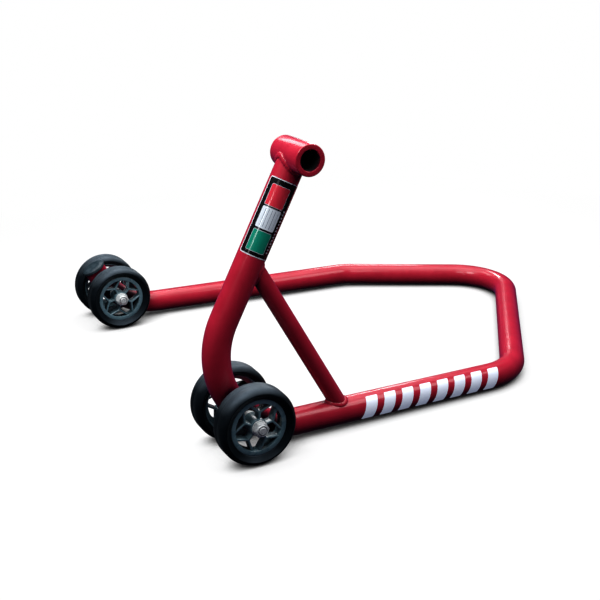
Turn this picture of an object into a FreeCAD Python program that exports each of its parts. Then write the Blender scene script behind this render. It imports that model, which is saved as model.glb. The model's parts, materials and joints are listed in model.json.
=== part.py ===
import FreeCAD, Part
import math
import os
import Sketcher

# Single-sided motorcycle paddock stand, in millimetres.
#
# One long tube makes the post, both ground rails and the handle.  It starts at the pin socket,
# leans down to the near wheels, turns back along the ground, crosses over as the handle, comes
# forward again and ends in a short upturned stub between the far wheels.
#
# X runs from the wheels back to the handle, Y runs across from the near side (the pin side) to
# the far side, Z is up.  The origin is on the pin socket's axis, in the middle plane of the post.
# Positions on the frame are sized from the foot of the near axle: the point on the ground
# straight below it, in the same plane.

Vector = FreeCAD.Vector
Rotation = FreeCAD.Rotation
Placement = FreeCAD.Placement

SIZES = {
    # frame tube
    "tube_radius": 17.5,
    "tube_bore_radius": 15.0,
    "rail_height_at_axles": 21.0,
    "near_corner_x": 414.4,
    "far_corner_x": 668.0,
    "far_corner_y": 354.8,
    "far_bend_x": 419.3,
    "far_bend_y": 498.8,
    "far_bend_height": 19.5,
    "far_axle_y": 532.2,
    "upright_bend_radius": 104.5,
    "near_corner_radius": 81.5,
    "far_corner_radius": 84.5,
    "far_bend_radius": 60.0,
    "stub_turn": 62.0,
    "stub_straight": 16.0,
    "post_lean": 27.66,
    # pin socket at the top of the post
    "socket_behind_axles": 79.6,
    "socket_height": 361.0,
    "socket_radius": 19.0,
    "socket_bore_radius": 12.5,
    "socket_near_reach": 40.0,
    "socket_far_reach": 28.0,
    "socket_edge_chamfer": 1.2,
    # brace between the post and the near rail
    "brace_radius": 11.0,
    "brace_bore_radius": 9.0,
    "brace_top_from_socket": 133.7,
    "brace_foot_x": 141.0,
    # weld beads
    "socket_bead_width": 3.0,
    "brace_bead_width": 2.4,
    # wheels
    "wheel_radius": 50.0,
    "wheel_offset": 38.0,
    "tyre_half_width": 17.0,
    "tyre_crown_half_width": 13.6,
    "tyre_shoulder_radius": 11.6,
    "tyre_wall_radius": 43.8,
    "rim_half_width": 12.0,
    "rim_inner_radius": 30.4,
    "rim_face_radius": 36.2,
    "rim_face_depth": 4.0,
    "rim_ring_depth": 14.0,
    "rim_barrel_radius": 38.0,
    "rim_barrel_bore_radius": 36.5,
    "rim_edge_chamfer": 0.6,
    "spoke_count": 5,
    "spoke_half_thickness": 1.4,
    "spoke_recess": 1.5,
    "spoke_root_radius": 10.0,
    "spoke_fork_radius": 19.4,
    "spoke_arm_angle": 60.0,
    "spoke_arm_length": 18.1,
    "hub_radius": 11.0,
    "bush_radius": 7.0,
    "bush_bore_radius": 5.06,
    "bush_half_length": 12.25,
    # axles
    "bolt_radius": 5.0,
    "bolt_end_chamfer": 0.8,
    "bolt_end_stand_out": 0.6,
    "hexagon_half_flats": 8.5,
    "bolt_head_height": 6.4,
    "nut_hexagon_height": 7.0,
    "nut_collar_height": 2.0,
    "nut_collar_radius": 7.4,
    "nut_edge_round": 0.8,
    "washer_radius": 10.0,
    "washer_thickness": 1.5,
    "clear_bore_radius": 5.25,
    "spacer_radius": 10.0,
    "sleeve_radius": 8.0,
    "sleeve_half_length": 19.0,
    "end_play": 0.15,
    # end plug of the stub
    "plug_stem_length": 12.0,
    "plug_flange_radius": 19.0,
    "plug_flange_thickness": 4.0,
    "plug_dome_height": 3.5,
    "plug_dome_shoulder_radius": 14.0,
    "plug_dome_shoulder_height": 2.4,
    # vinyl stickers
    "sticker_thickness": 0.25,
    "label_top_from_socket": 32.0,
    "label_length": 95.0,
    "label_start_angle": -88.0,
    "label_sweep": 163.0,
    "graphic_start_x": 161.0,
    "graphic_bar_count": 8,
    "graphic_bar_pitch": 27.5,
    "graphic_bar_width": 17.0,
    "graphic_bar_slant": 9.0,
    "graphic_half_height": 14.0,
    "graphic_tilt": 10.0,
}

# How far each wheel is turned at rest, as the direction of one spoke above the X axis.
WHEEL_TURNS = {
    "near_outer": 82.0,
    "near_inner": 63.0,
    "far_inner": 44.0,
    "far_outer": 12.0,
}

# Half length of the plain rods used for coping, which is longer than any seam.
ROD_REACH = 60.0
# Two sizes closer than this count as the same.
SAME_SIZE = 0.01
# Radius of the ring on which an outline's corners start before the sheet places them.
LOOSE_RADIUS = 10.0
HEXAGON_SIDES = 6

doc = FreeCAD.newDocument("paddock_stand")
sheet = doc.addObject("Spreadsheet::Sheet", "dims")
for row, (word, value) in enumerate(SIZES.items(), start=1):
    sheet.set("A%d" % row, word)
    sheet.set("B%d" % row, str(value))
    sheet.setAlias("B%d" % row, word)
doc.recompute()


def size(word):
    return float(sheet.get(word))


# ---------------------------------------------------------------- drawing helpers

PARTS = []


def new_body(name):
    body = doc.addObject("PartDesign::Body", name)
    body.Label = name
    PARTS.append(body)
    return body


def origin_plane(body, role):
    return [item for item in body.Origin.OriginFeatures if item.Role == role][0]


def new_sketch(body, name, role="XY_Plane", height="0"):
    """A sketch on one of the body's origin planes, lifted off it by a sheet expression."""
    sketch = body.newObject("Sketcher::SketchObject", name)
    sketch.AttachmentSupport = (origin_plane(body, role), [""])
    sketch.MapMode = "FlatFace"
    sketch.setExpression("AttachmentOffset.Base.z", height)
    return sketch


def add_circle(sketch, radius):
    """A circle round the sketch origin with its radius tied to a sheet expression."""
    index = sketch.addGeometry(Part.Circle(Vector(0, 0, 0), Vector(0, 0, 1), 1.0), False)
    sketch.addConstraint(Sketcher.Constraint("Coincident", index, 3, -1, 1))
    rule = sketch.addConstraint(Sketcher.Constraint("Radius", index, 1.0))
    sketch.setExpression("Constraints[%d]" % rule, radius)


def add_outline(sketch, corners):
    """A closed outline of straight lines with both coordinates of every corner tied to the sheet."""
    count = len(corners)
    loose = []
    for step in range(count):
        angle = 2 * math.pi * step / count
        loose.append(Vector(LOOSE_RADIUS * math.cos(angle), LOOSE_RADIUS * math.sin(angle), 0))
    lines = [Part.LineSegment(loose[step], loose[(step + 1) % count]) for step in range(count)]
    first = sketch.addGeometry(lines, False)[0]
    for step, (across, along) in enumerate(corners):
        line = first + step
        following = first + (step + 1) % count
        sketch.addConstraint(Sketcher.Constraint("Coincident", line, 2, following, 1))
        rule = sketch.addConstraint(Sketcher.Constraint("DistanceX", -1, 1, line, 1, loose[step].x))
        sketch.setExpression("Constraints[%d]" % rule, across)
        rule = sketch.addConstraint(Sketcher.Constraint("DistanceY", -1, 1, line, 1, loose[step].y))
        sketch.setExpression("Constraints[%d]" % rule, along)


def pad(body, name, sketch, length):
    feature = body.newObject("PartDesign::Pad", name)
    feature.Profile = sketch
    feature.setExpression("Length", length)
    sketch.Visibility = False
    doc.recompute()
    return feature


def pad_ring(body, name, outer, inner, start, length):
    """A plain ring round the body's Z axis, from the start height upwards."""
    sketch = new_sketch(body, name + "_section", height=start)
    add_circle(sketch, outer)
    add_circle(sketch, inner)
    return pad(body, name, sketch, length)


def revolve(body, name, corners):
    """An outline of (distance from the axis, height) corners turned about the body's Z axis."""
    sketch = new_sketch(body, name + "_section", role="XZ_Plane")
    add_outline(sketch, corners)
    feature = body.newObject("PartDesign::Revolution", name)
    feature.Profile = sketch
    feature.ReferenceAxis = (sketch, ["V_Axis"])
    feature.Angle = 360
    doc.recompute()
    return feature


def round_edges(shape, radius, heights=None):
    """Names of the full circular edges of one radius, at given heights on the Z axis."""
    names = []
    for index, edge in enumerate(shape.Edges, start=1):
        if not isinstance(edge.Curve, Part.Circle):
            continue
        if abs(edge.Curve.Radius - radius) > SAME_SIZE:
            continue
        if heights is None or min(abs(edge.Curve.Center.z - height) for height in heights) < SAME_SIZE:
            names.append("Edge%d" % index)
    return names


def dress(body, kind, name, base, edges, amount):
    """A fillet or a chamfer on named edges of the feature before it."""
    feature = body.newObject("PartDesign::" + kind, name)
    feature.Base = (base, edges)
    feature.setExpression("Size" if kind == "Chamfer" else "Radius", amount)
    doc.recompute()
    return feature


def rod(centre, direction, radius, half_length):
    """A plain cylinder, given by its middle point and direction, used for cutting and coping."""
    return Part.makeCylinder(radius, 2 * half_length, centre - direction * half_length, direction)


def turned_to(direction):
    """The rotation that lays a body's Z axis along a direction."""
    return Rotation(Vector(0, 0, 1), direction)


# ---------------------------------------------------------------- centre line of the frame tube

UP = Vector(0, 0, 1)
ACROSS = Vector(0, 1, 0)


def bent_line(points, radii):
    """Straight runs between the points, with an arc of the given radius at each inner one."""
    edges = []
    start = points[0]
    for corner, before, after, radius in zip(points[1:-1], points[:-2], points[2:], radii):
        back = (before - corner).normalize()
        ahead = (after - corner).normalize()
        half_angle = back.getAngle(ahead) / 2
        inward = (back + ahead).normalize()
        entry = corner + back * (radius / math.tan(half_angle))
        leave = corner + ahead * (radius / math.tan(half_angle))
        middle = corner + inward * (radius / math.sin(half_angle) - radius)
        edges.append(Part.makeLine(start, entry))
        edges.append(Part.Arc(entry, middle, leave).toShape())
        start = leave
    edges.append(Part.makeLine(start, points[-1]))
    return Part.Wire(edges)


lean = math.radians(size("post_lean"))
post_direction = Vector(math.sin(lean), 0, math.cos(lean))
socket_centre = Vector(0, 0, 0)
axle_foot = Vector(-size("socket_behind_axles"), 0, -size("socket_height"))


def from_axle_foot(back, across, height):
    """A point given by how far it is behind, across from and above the near axle's foot."""
    return axle_foot + Vector(back, across, height)


near_axle = from_axle_foot(0, 0, size("wheel_radius"))
far_axle = from_axle_foot(0, size("far_axle_y"), size("wheel_radius"))
near_corner = from_axle_foot(size("near_corner_x"), 0, size("tube_radius"))
far_corner = from_axle_foot(size("far_corner_x"), size("far_corner_y"), size("tube_radius"))
far_bend = from_axle_foot(size("far_bend_x"), size("far_bend_y"), size("far_bend_height"))
near_rail_at_axle = from_axle_foot(0, 0, size("rail_height_at_axles"))
far_rail_at_axle = from_axle_foot(0, size("far_axle_y"), size("rail_height_at_axles"))
rail_direction = (near_corner - near_rail_at_axle).normalize()

# The post's line and the near rail's line meet in front of the wheels, at the post corner.
rail_normal = rail_direction.cross(ACROSS)
post_run = rail_normal.dot(socket_centre - near_rail_at_axle) / rail_normal.dot(post_direction)
post_corner = socket_centre - post_direction * post_run

# The far rail turns up in the same bend as the near one but is cut off early, as the stub.
upright_radius = size("upright_bend_radius")
post_turn = rail_direction.getAngle(post_direction * -1)
bend_start = post_corner + rail_direction * (upright_radius * math.tan(post_turn / 2))
forward = (far_rail_at_axle - far_bend).normalize()
stub_bend_start = far_bend + forward * ((far_bend.x - bend_start.x) / -forward.x)
stub_turn = math.radians(size("stub_turn"))
stub_tangent = upright_radius * math.tan(stub_turn / 2)
stub_corner = stub_bend_start + forward * stub_tangent
stub_direction = (forward * math.cos(stub_turn) + UP * math.sin(stub_turn)).normalize()
stub_end = stub_corner + stub_direction * (stub_tangent + size("stub_straight"))

frame_line = doc.addObject("Part::Feature", "frame_line")
frame_line.Shape = bent_line(
    [stub_end, stub_corner, far_bend, far_corner, near_corner, post_corner, socket_centre],
    [upright_radius, size("far_bend_radius"), size("far_corner_radius"),
     size("near_corner_radius"), upright_radius])

tube_profile = Part.Wire(Part.makeCircle(size("tube_radius"), stub_end, stub_direction))
tube_envelope = frame_line.Shape.makePipe(Part.Face(tube_profile))


# ---------------------------------------------------------------- frame tube

def crossing_cylinder(body, name, radius, centre):
    """Cuts a hole along Y through the body, centred on a point."""
    hole = body.newObject("PartDesign::SubtractiveCylinder", name)
    hole.setExpression("Radius", radius)
    hole.Height = 2 * ROD_REACH
    hole.Placement = Placement(centre - ACROSS * ROD_REACH, turned_to(ACROSS))
    doc.recompute()


def make_frame_tube():
    body = new_body("frame_tube")
    section = body.newObject("Sketcher::SketchObject", "tube_section")
    section.Placement = Placement(stub_end, turned_to(stub_direction * -1))
    add_circle(section, "dims.tube_radius")
    add_circle(section, "dims.tube_bore_radius")
    pipe = body.newObject("PartDesign::AdditivePipe", "tube_pipe")
    pipe.Profile = section
    pipe.Spine = (frame_line, ["Edge%d" % step for step in range(1, len(frame_line.Shape.Edges) + 1)])
    doc.recompute()
    crossing_cylinder(body, "socket_cope", "dims.socket_radius", socket_centre)
    crossing_cylinder(body, "near_sleeve_hole", "dims.sleeve_radius", near_axle)
    crossing_cylinder(body, "far_sleeve_hole", "dims.sleeve_radius", far_axle)


# ---------------------------------------------------------------- pin socket, brace and beads

def make_pin_socket():
    body = new_body("pin_socket")
    length = "dims.socket_near_reach + dims.socket_far_reach"
    ring = pad_ring(body, "socket_wall", "dims.socket_radius", "dims.socket_bore_radius",
                    "-dims.socket_near_reach", length)
    edges = round_edges(ring.Shape, size("socket_radius"))
    edges += round_edges(ring.Shape, size("socket_bore_radius"))
    dress(body, "Chamfer", "socket_edges", ring, edges, "dims.socket_edge_chamfer")
    body.Placement = Placement(socket_centre, turned_to(ACROSS))


brace_top = socket_centre - post_direction * size("brace_top_from_socket")
brace_foot = near_rail_at_axle + rail_direction * (size("brace_foot_x") / rail_direction.x)
brace_direction = (brace_foot - brace_top).normalize()
brace_middle = (brace_top + brace_foot) * 0.5
brace_half_length = (brace_foot - brace_top).Length / 2
brace_rod = rod(brace_middle, brace_direction, size("brace_radius"), brace_half_length)


def new_shape(name, shape):
    """A sub-part whose solid is worked out here, for shapes fitted between other pieces."""
    part = doc.addObject("Part::Feature", name)
    part.Label = name
    part.Shape = shape
    PARTS.append(part)


def make_brace():
    """A straight tube coped at both ends to sit on the frame tube."""
    bore = rod(brace_middle, brace_direction, size("brace_bore_radius"), brace_half_length)
    new_shape("brace_tube", brace_rod.cut(bore).cut(tube_envelope).Solids[0])


def bead_collar(name, branch_centre, branch_direction, branch_radius, branch_half_length,
                host_centre, host_direction, host_radius, bead, pieces):
    """A weld bead: the material within one bead width of both pieces, less the pieces themselves."""
    branch = rod(branch_centre, branch_direction, branch_radius + bead, branch_half_length)
    host = rod(host_centre, host_direction, host_radius + bead, ROD_REACH)
    collar = branch.common(host)
    for piece in pieces:
        collar = collar.cut(piece)
    new_shape(name, max(collar.Solids, key=lambda solid: solid.Volume))


def make_beads():
    bead = size("brace_bead_width")
    radius = size("brace_radius")
    tube_radius = size("tube_radius")
    for name, place, host_direction in (("brace_top_bead", brace_top, post_direction),
                                        ("brace_foot_bead", brace_foot, rail_direction)):
        bead_collar(name, brace_middle, brace_direction, radius, brace_half_length,
                    place, host_direction, tube_radius, bead, [tube_envelope, brace_rod])
    socket_rod = rod(socket_centre, ACROSS, size("socket_radius"), ROD_REACH)
    half_reach = ROD_REACH / 2
    bead_collar("socket_bead", socket_centre - post_direction * half_reach, post_direction,
                tube_radius, half_reach, socket_centre, ACROSS, size("socket_radius"),
                size("socket_bead_width"), [socket_rod, tube_envelope])


def make_stub_plug():
    """Plastic plug: a stem inside the stub and a low domed flange over its end."""
    body = new_body("stub_end_plug")
    revolve(body, "plug_solid", [
        ("0", "-dims.plug_stem_length"),
        ("dims.tube_bore_radius", "-dims.plug_stem_length"),
        ("dims.tube_bore_radius", "0"),
        ("dims.plug_flange_radius", "0"),
        ("dims.plug_flange_radius", "dims.plug_flange_thickness"),
        ("dims.plug_dome_shoulder_radius", "dims.plug_flange_thickness + dims.plug_dome_shoulder_height"),
        ("0", "dims.plug_flange_thickness + dims.plug_dome_height")])
    body.Placement = Placement(stub_end, turned_to(stub_direction))


# ---------------------------------------------------------------- wheels

# A wheel is drawn with its face towards +Z.  The ring and spokes are at the face, and behind them
# the rim is an open barrel.

RING_BACK = "dims.rim_half_width - dims.rim_ring_depth"
FACE_BACK = "dims.rim_half_width - dims.rim_face_depth"


def make_rim(name):
    """Plastic rim: a ring at the face, a thin barrel behind it, a hub, and Y-shaped spokes."""
    body = new_body(name + "_rim")
    ring = revolve(body, name + "_ring", [
        ("dims.rim_inner_radius", RING_BACK),
        ("dims.rim_barrel_bore_radius", RING_BACK),
        ("dims.rim_barrel_bore_radius", "-dims.rim_half_width"),
        ("dims.rim_barrel_radius", "-dims.rim_half_width"),
        ("dims.rim_barrel_radius", FACE_BACK),
        ("dims.rim_face_radius", FACE_BACK),
        ("dims.rim_face_radius", "dims.rim_half_width"),
        ("dims.rim_inner_radius", "dims.rim_half_width")])
    edges = round_edges(ring.Shape, size("rim_inner_radius"), [size("rim_half_width")])
    dress(body, "Chamfer", name + "_ring_edge", ring, edges, "dims.rim_edge_chamfer")
    fork = "dims.spoke_fork_radius"
    half = "dims.spoke_half_thickness"
    angle = "dims.spoke_arm_angle"
    reach_x = "dims.spoke_arm_length * cos(%s)" % angle
    reach_y = "dims.spoke_arm_length * sin(%s)" % angle
    side_x = "%s * sin(%s)" % (half, angle)
    side_y = "%s * cos(%s)" % (half, angle)
    shoulder = "%s - %s * tan(%s / 2)" % (fork, half, angle)
    sketch = new_sketch(body, name + "_spoke_outline", height=RING_BACK)
    add_outline(sketch, [
        ("dims.spoke_root_radius", "-" + half),
        (shoulder, "-" + half),
        ("%s - %s + %s" % (fork, side_x, reach_x), "-%s - %s" % (side_y, reach_y)),
        ("%s + %s + %s" % (fork, side_x, reach_x), "%s - %s" % (side_y, reach_y)),
        ("%s + %s / sin(%s)" % (fork, half, angle), "0"),
        ("%s + %s + %s" % (fork, side_x, reach_x), "%s - %s" % (reach_y, side_y)),
        ("%s - %s + %s" % (fork, side_x, reach_x), "%s + %s" % (side_y, reach_y)),
        (shoulder, half),
        ("dims.spoke_root_radius", half)])
    spoke = pad(body, name + "_spoke", sketch, "dims.rim_ring_depth - dims.spoke_recess")
    spokes = body.newObject("PartDesign::PolarPattern", name + "_spokes")
    spokes.Originals = [spoke]
    spokes.Axis = (sketch, ["N_Axis"])
    spokes.Angle = 360
    spokes.setExpression("Occurrences", "dims.spoke_count")
    body.Tip = spokes
    doc.recompute()
    pad_ring(body, name + "_hub", "dims.hub_radius", "dims.bush_radius",
             "-dims.rim_half_width", "2 * dims.rim_half_width")
    return body


def make_tyre(name):
    """Rubber tyre: rounded crown, crisp outer edges, sloping walls, and a lip over the rim's barrel."""
    body = new_body(name + "_tyre")
    solid = revolve(body, name + "_tread", [
        ("dims.rim_barrel_radius", "-dims.rim_half_width"),
        ("dims.tyre_wall_radius", "-dims.tyre_half_width"),
        ("dims.wheel_radius", "-dims.tyre_crown_half_width"),
        ("dims.wheel_radius", "dims.tyre_crown_half_width"),
        ("dims.tyre_wall_radius", "dims.tyre_half_width"),
        ("dims.rim_face_radius", "dims.rim_half_width"),
        ("dims.rim_face_radius", FACE_BACK),
        ("dims.rim_barrel_radius", FACE_BACK)])
    shoulders = round_edges(solid.Shape, size("wheel_radius"))
    dress(body, "Fillet", name + "_shoulders", solid, shoulders, "dims.tyre_shoulder_radius")
    return body


def make_bush(name):
    """Plain bearing bush pressed in the hub, a touch longer than it, turning on the axle bolt."""
    body = new_body(name + "_bush")
    pad_ring(body, name + "_bush_wall", "dims.bush_radius", "dims.bush_bore_radius",
             "-dims.bush_half_length", "2 * dims.bush_half_length")
    return body


def make_wheel(name, axle, side):
    """One wheel, on the side of the tube given by -1 (near) or 1 (far), facing away from it."""
    outward = ACROSS * side
    centre = axle + outward * size("wheel_offset")
    spin = Rotation(UP, -side * WHEEL_TURNS[name])
    for piece in (make_rim(name), make_tyre(name), make_bush(name)):
        piece.Placement = Placement(centre, turned_to(outward).multiply(spin))


# ---------------------------------------------------------------- axles

BUSH_OUTER_END = "(dims.wheel_offset + dims.bush_half_length + dims.end_play)"
BUSH_INNER_END = "(dims.wheel_offset - dims.bush_half_length - dims.end_play)"
WASHER_OUTER_END = "(%s + dims.washer_thickness)" % BUSH_OUTER_END
NUT_OUTER_END = "(%s + dims.nut_hexagon_height + dims.nut_collar_height)" % WASHER_OUTER_END


def add_hexagon(sketch):
    """A hexagon round the sketch origin, given by half its width across flats."""
    side_angle = 360 / HEXAGON_SIDES
    corner_radius = "dims.hexagon_half_flats / cos(%g)" % (side_angle / 2)
    corners = []
    for step in range(HEXAGON_SIDES):
        angle = side_angle * step
        corners.append(("%s * cos(%g)" % (corner_radius, angle), "%s * sin(%g)" % (corner_radius, angle)))
    add_outline(sketch, corners)


def make_bolt(name):
    """Hexagon bolt whose head is on the far side and whose end stands out of the lock nut."""
    body = new_body(name + "_bolt")
    shank_end = "(%s + dims.bolt_end_stand_out)" % NUT_OUTER_END
    sketch = new_sketch(body, name + "_shank_section", height="-" + shank_end)
    add_circle(sketch, "dims.bolt_radius")
    shank = pad(body, name + "_shank", sketch, "%s + %s" % (shank_end, WASHER_OUTER_END))
    lowest = shank.Shape.BoundBox.ZMin
    edges = round_edges(shank.Shape, size("bolt_radius"), [lowest])
    dress(body, "Chamfer", name + "_shank_end", shank, edges, "dims.bolt_end_chamfer")
    sketch = new_sketch(body, name + "_head_outline", height=WASHER_OUTER_END)
    add_hexagon(sketch)
    pad(body, name + "_head", sketch, "dims.bolt_head_height")
    return body


def make_lock_nut(name):
    """Hexagon lock nut with a round collar over its insert, screwed on from the near side."""
    body = new_body(name + "_lock_nut")
    collar_start = "-(%s + dims.nut_hexagon_height)" % WASHER_OUTER_END
    sketch = new_sketch(body, name + "_nut_outline", height=collar_start)
    add_hexagon(sketch)
    add_circle(sketch, "dims.bolt_radius")
    pad(body, name + "_nut_hexagon", sketch, "dims.nut_hexagon_height")
    collar = pad_ring(body, name + "_nut_collar", "dims.nut_collar_radius", "dims.bolt_radius",
                      "-" + NUT_OUTER_END, "dims.nut_collar_height")
    edges = round_edges(collar.Shape, size("nut_collar_radius"), [collar.Shape.BoundBox.ZMin])
    dress(body, "Fillet", name + "_nut_round", collar, edges, "dims.nut_edge_round")
    return body


def make_ring(name, outer, inner, start, length):
    body = new_body(name)
    pad_ring(body, name + "_wall", outer, inner, start, length)
    return body


def make_axle(name, centre):
    """Everything on one axle that doesn't turn: sleeve, spacers, bolt, washers and nut."""
    spacer_length = "%s - dims.sleeve_half_length" % BUSH_INNER_END
    pieces = [
        make_ring(name + "_axle_sleeve", "dims.sleeve_radius", "dims.clear_bore_radius",
                  "-dims.sleeve_half_length", "2 * dims.sleeve_half_length"),
        make_ring(name + "_nut_spacer", "dims.spacer_radius", "dims.clear_bore_radius",
                  "-" + BUSH_INNER_END, spacer_length),
        make_ring(name + "_head_spacer", "dims.spacer_radius", "dims.clear_bore_radius",
                  "dims.sleeve_half_length", spacer_length),
        make_ring(name + "_nut_washer", "dims.washer_radius", "dims.clear_bore_radius",
                  "-" + WASHER_OUTER_END, "dims.washer_thickness"),
        make_ring(name + "_head_washer", "dims.washer_radius", "dims.clear_bore_radius",
                  BUSH_OUTER_END, "dims.washer_thickness"),
        make_bolt(name),
        make_lock_nut(name)]
    for piece in pieces:
        piece.Placement = Placement(centre, turned_to(ACROSS))


# ---------------------------------------------------------------- vinyl stickers

def make_post_label():
    """A thin sticker wrapped round the front of the post below the socket."""
    body = new_body("post_label")
    sheet_round = body.newObject("PartDesign::AdditiveCylinder", "label_sheet")
    sheet_round.setExpression("Radius", "dims.tube_radius + dims.sticker_thickness")
    sheet_round.setExpression("Height", "dims.label_length")
    sheet_round.setExpression("Angle", "dims.label_sweep")
    inside = body.newObject("PartDesign::SubtractiveCylinder", "label_inside")
    inside.setExpression("Radius", "dims.tube_radius")
    inside.setExpression("Height", "dims.label_length")
    doc.recompute()
    bottom = size("label_top_from_socket") + size("label_length")
    toward_near = Vector(0, -1, 0)
    sideways = post_direction.cross(toward_near)
    start = math.radians(size("label_start_angle"))
    first = toward_near * math.cos(start) + sideways * math.sin(start)
    body.Placement = Placement(socket_centre - post_direction * bottom,
                               Rotation(first, post_direction.cross(first), post_direction, "ZXY"))


def make_rail_graphic():
    """A row of slanted bars of cut vinyl on the outside of the near rail."""
    start = near_rail_at_axle + rail_direction * (size("graphic_start_x") / rail_direction.x)
    count = int(size("graphic_bar_count"))
    pitch = size("graphic_bar_pitch")
    length = pitch * count + size("graphic_bar_slant")
    radius = size("tube_radius")
    skin = Part.makeCylinder(radius + size("sticker_thickness"), length, start, rail_direction)
    skin = skin.cut(Part.makeCylinder(radius, length, start, rail_direction))
    toward_near = Vector(0, -1, 0)
    upward = toward_near.cross(rail_direction) * -1
    turn = Rotation(rail_direction, -size("graphic_tilt"))
    outward = turn.multVec(toward_near)
    rise = turn.multVec(upward) * size("graphic_half_height")
    bars = []
    for step in range(count):
        left = start + rail_direction * (step * pitch)
        slant = rail_direction * size("graphic_bar_slant")
        width = rail_direction * size("graphic_bar_width")
        corners = [left - rise, left + width - rise, left + width + slant + rise, left + slant + rise]
        bar = Part.Face(Part.makePolygon(corners + corners[:1])).extrude(outward * (2 * radius))
        bars.append(skin.common(bar).Solids[0])
    new_shape("rail_graphic", Part.makeCompound(bars))


# ---------------------------------------------------------------- build, check and write

make_frame_tube()
make_pin_socket()
make_brace()
make_beads()
make_stub_plug()
for axle_name, axle_centre in (("near", near_axle), ("far", far_axle)):
    make_axle(axle_name, axle_centre)
make_wheel("near_outer", near_axle, -1)
make_wheel("near_inner", near_axle, 1)
make_wheel("far_inner", far_axle, -1)
make_wheel("far_outer", far_axle, 1)
make_post_label()
make_rail_graphic()
doc.recompute()

for item in doc.Objects:
    if "Invalid" in item.State or "Error" in item.State:
        raise RuntimeError("%s did not build: %s" % (item.Name, item.State))
for part in PARTS:
    if part.Shape.isNull() or not part.Shape.isValid():
        raise RuntimeError("%s has no valid shape" % part.Label)

os.makedirs("parts", exist_ok=True)
for part in PARTS:
    part.Shape.exportStep("parts/%s.step" % part.Label)
    box = part.Shape.BoundBox
    print("%-18s solids %d  volume %9.0f  x %.1f..%.1f  y %.1f..%.1f  z %.1f..%.1f" % (
        part.Label, len(part.Shape.Solids), part.Shape.Volume,
        box.XMin, box.XMax, box.YMin, box.YMax, box.ZMin, box.ZMax))
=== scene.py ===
import json
import math
import bpy
import bmesh
from mathutils import Matrix, Vector


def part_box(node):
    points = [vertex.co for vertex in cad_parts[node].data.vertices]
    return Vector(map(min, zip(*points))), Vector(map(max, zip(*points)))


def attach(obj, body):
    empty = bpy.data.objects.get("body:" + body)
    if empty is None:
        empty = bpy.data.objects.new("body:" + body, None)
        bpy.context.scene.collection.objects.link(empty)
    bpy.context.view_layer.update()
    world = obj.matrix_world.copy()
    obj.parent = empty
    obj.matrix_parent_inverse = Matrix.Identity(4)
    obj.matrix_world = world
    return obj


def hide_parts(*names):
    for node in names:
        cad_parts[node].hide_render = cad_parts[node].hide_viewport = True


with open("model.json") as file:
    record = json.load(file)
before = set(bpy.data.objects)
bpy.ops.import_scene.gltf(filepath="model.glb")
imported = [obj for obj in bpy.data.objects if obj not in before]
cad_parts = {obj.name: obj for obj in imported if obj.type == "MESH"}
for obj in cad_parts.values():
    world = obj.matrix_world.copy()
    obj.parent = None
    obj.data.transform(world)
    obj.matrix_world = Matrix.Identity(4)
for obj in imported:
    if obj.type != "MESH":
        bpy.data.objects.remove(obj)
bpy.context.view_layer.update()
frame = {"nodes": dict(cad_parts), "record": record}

# Motorcycle paddock stand. One long red tube makes the lifting post, the two ground rails and the
# handle; it runs on two pairs of small wheels. X runs from the wheels back to the handle, Y across
# from the near side to the far side, Z is up, and the origin is the middle of the pin's bore.
# Lengths are in millimetres unless a comment says otherwise; MM turns them into Blender's metres.
MM = 0.001

X_AXIS = Vector((1.0, 0.0, 0.0))
Y_AXIS = Vector((0.0, 1.0, 0.0))
Z_AXIS = Vector((0.0, 0.0, 1.0))
ORIGIN = Vector((0.0, 0.0, 0.0))
TOWARD_NEAR = -Y_AXIS

# Two sizes closer than this count as the same.
SAME_SIZE = 0.01
# A solid turned round an axis stops this short of it.
AXIS_GAP = 0.05
# Faces that meet at more than this many degrees get a crisp edge between them.
SHARP_ANGLE = 35

# -------- frame sizes, as in the CAD

TUBE_RADIUS = 17.5
TUBE_BORE_RADIUS = 15.0
UPRIGHT_BEND_RADIUS = 104.5
# The stub's bend is drawn a hair tighter, which doesn't show.
STUB_BEND_RADIUS = 104.49
NEAR_CORNER_RADIUS = 81.5
FAR_CORNER_RADIUS = 84.5
FAR_BEND_RADIUS = 60.0
RAIL_HEIGHT_AT_AXLES = 21.0
FAR_BEND_HEIGHT = 19.5
FAR_AXLE_Y = 532.2
WHEEL_RADIUS = 50.0
AXLE_FOOT = Vector((-79.6, 0.0, -361.0))


def from_foot(back, across, height):
    """A point sized from the ground straight below the near axle."""
    return AXLE_FOOT + Vector((back, across, height))


POST_LEAN = math.radians(27.66)
POST = Vector((math.sin(POST_LEAN), 0.0, math.cos(POST_LEAN)))
NEAR_RAIL = from_foot(0, 0, RAIL_HEIGHT_AT_AXLES)
NEAR_CORNER = from_foot(414.4, 0, TUBE_RADIUS)
FAR_CORNER = from_foot(668.0, 354.8, TUBE_RADIUS)
FAR_BEND = from_foot(419.3, 498.8, FAR_BEND_HEIGHT)
FAR_RAIL = from_foot(0, FAR_AXLE_Y, RAIL_HEIGHT_AT_AXLES)
AXLE_CENTRES = {"near": from_foot(0, 0, WHEEL_RADIUS), "far": from_foot(0, FAR_AXLE_Y, WHEEL_RADIUS)}

# The post's line and the near rail's line meet at the post corner, in front of the wheels.
RAIL = (NEAR_CORNER - NEAR_RAIL).normalized()
RAIL_NORMAL = RAIL.cross(Y_AXIS)
POST_CORNER = POST * (RAIL_NORMAL.dot(NEAR_RAIL) / RAIL_NORMAL.dot(POST))
POST_TURN = RAIL.angle(-POST)
POST_BEND_START = POST_CORNER + RAIL * UPRIGHT_BEND_RADIUS * math.tan(POST_TURN / 2)

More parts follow.
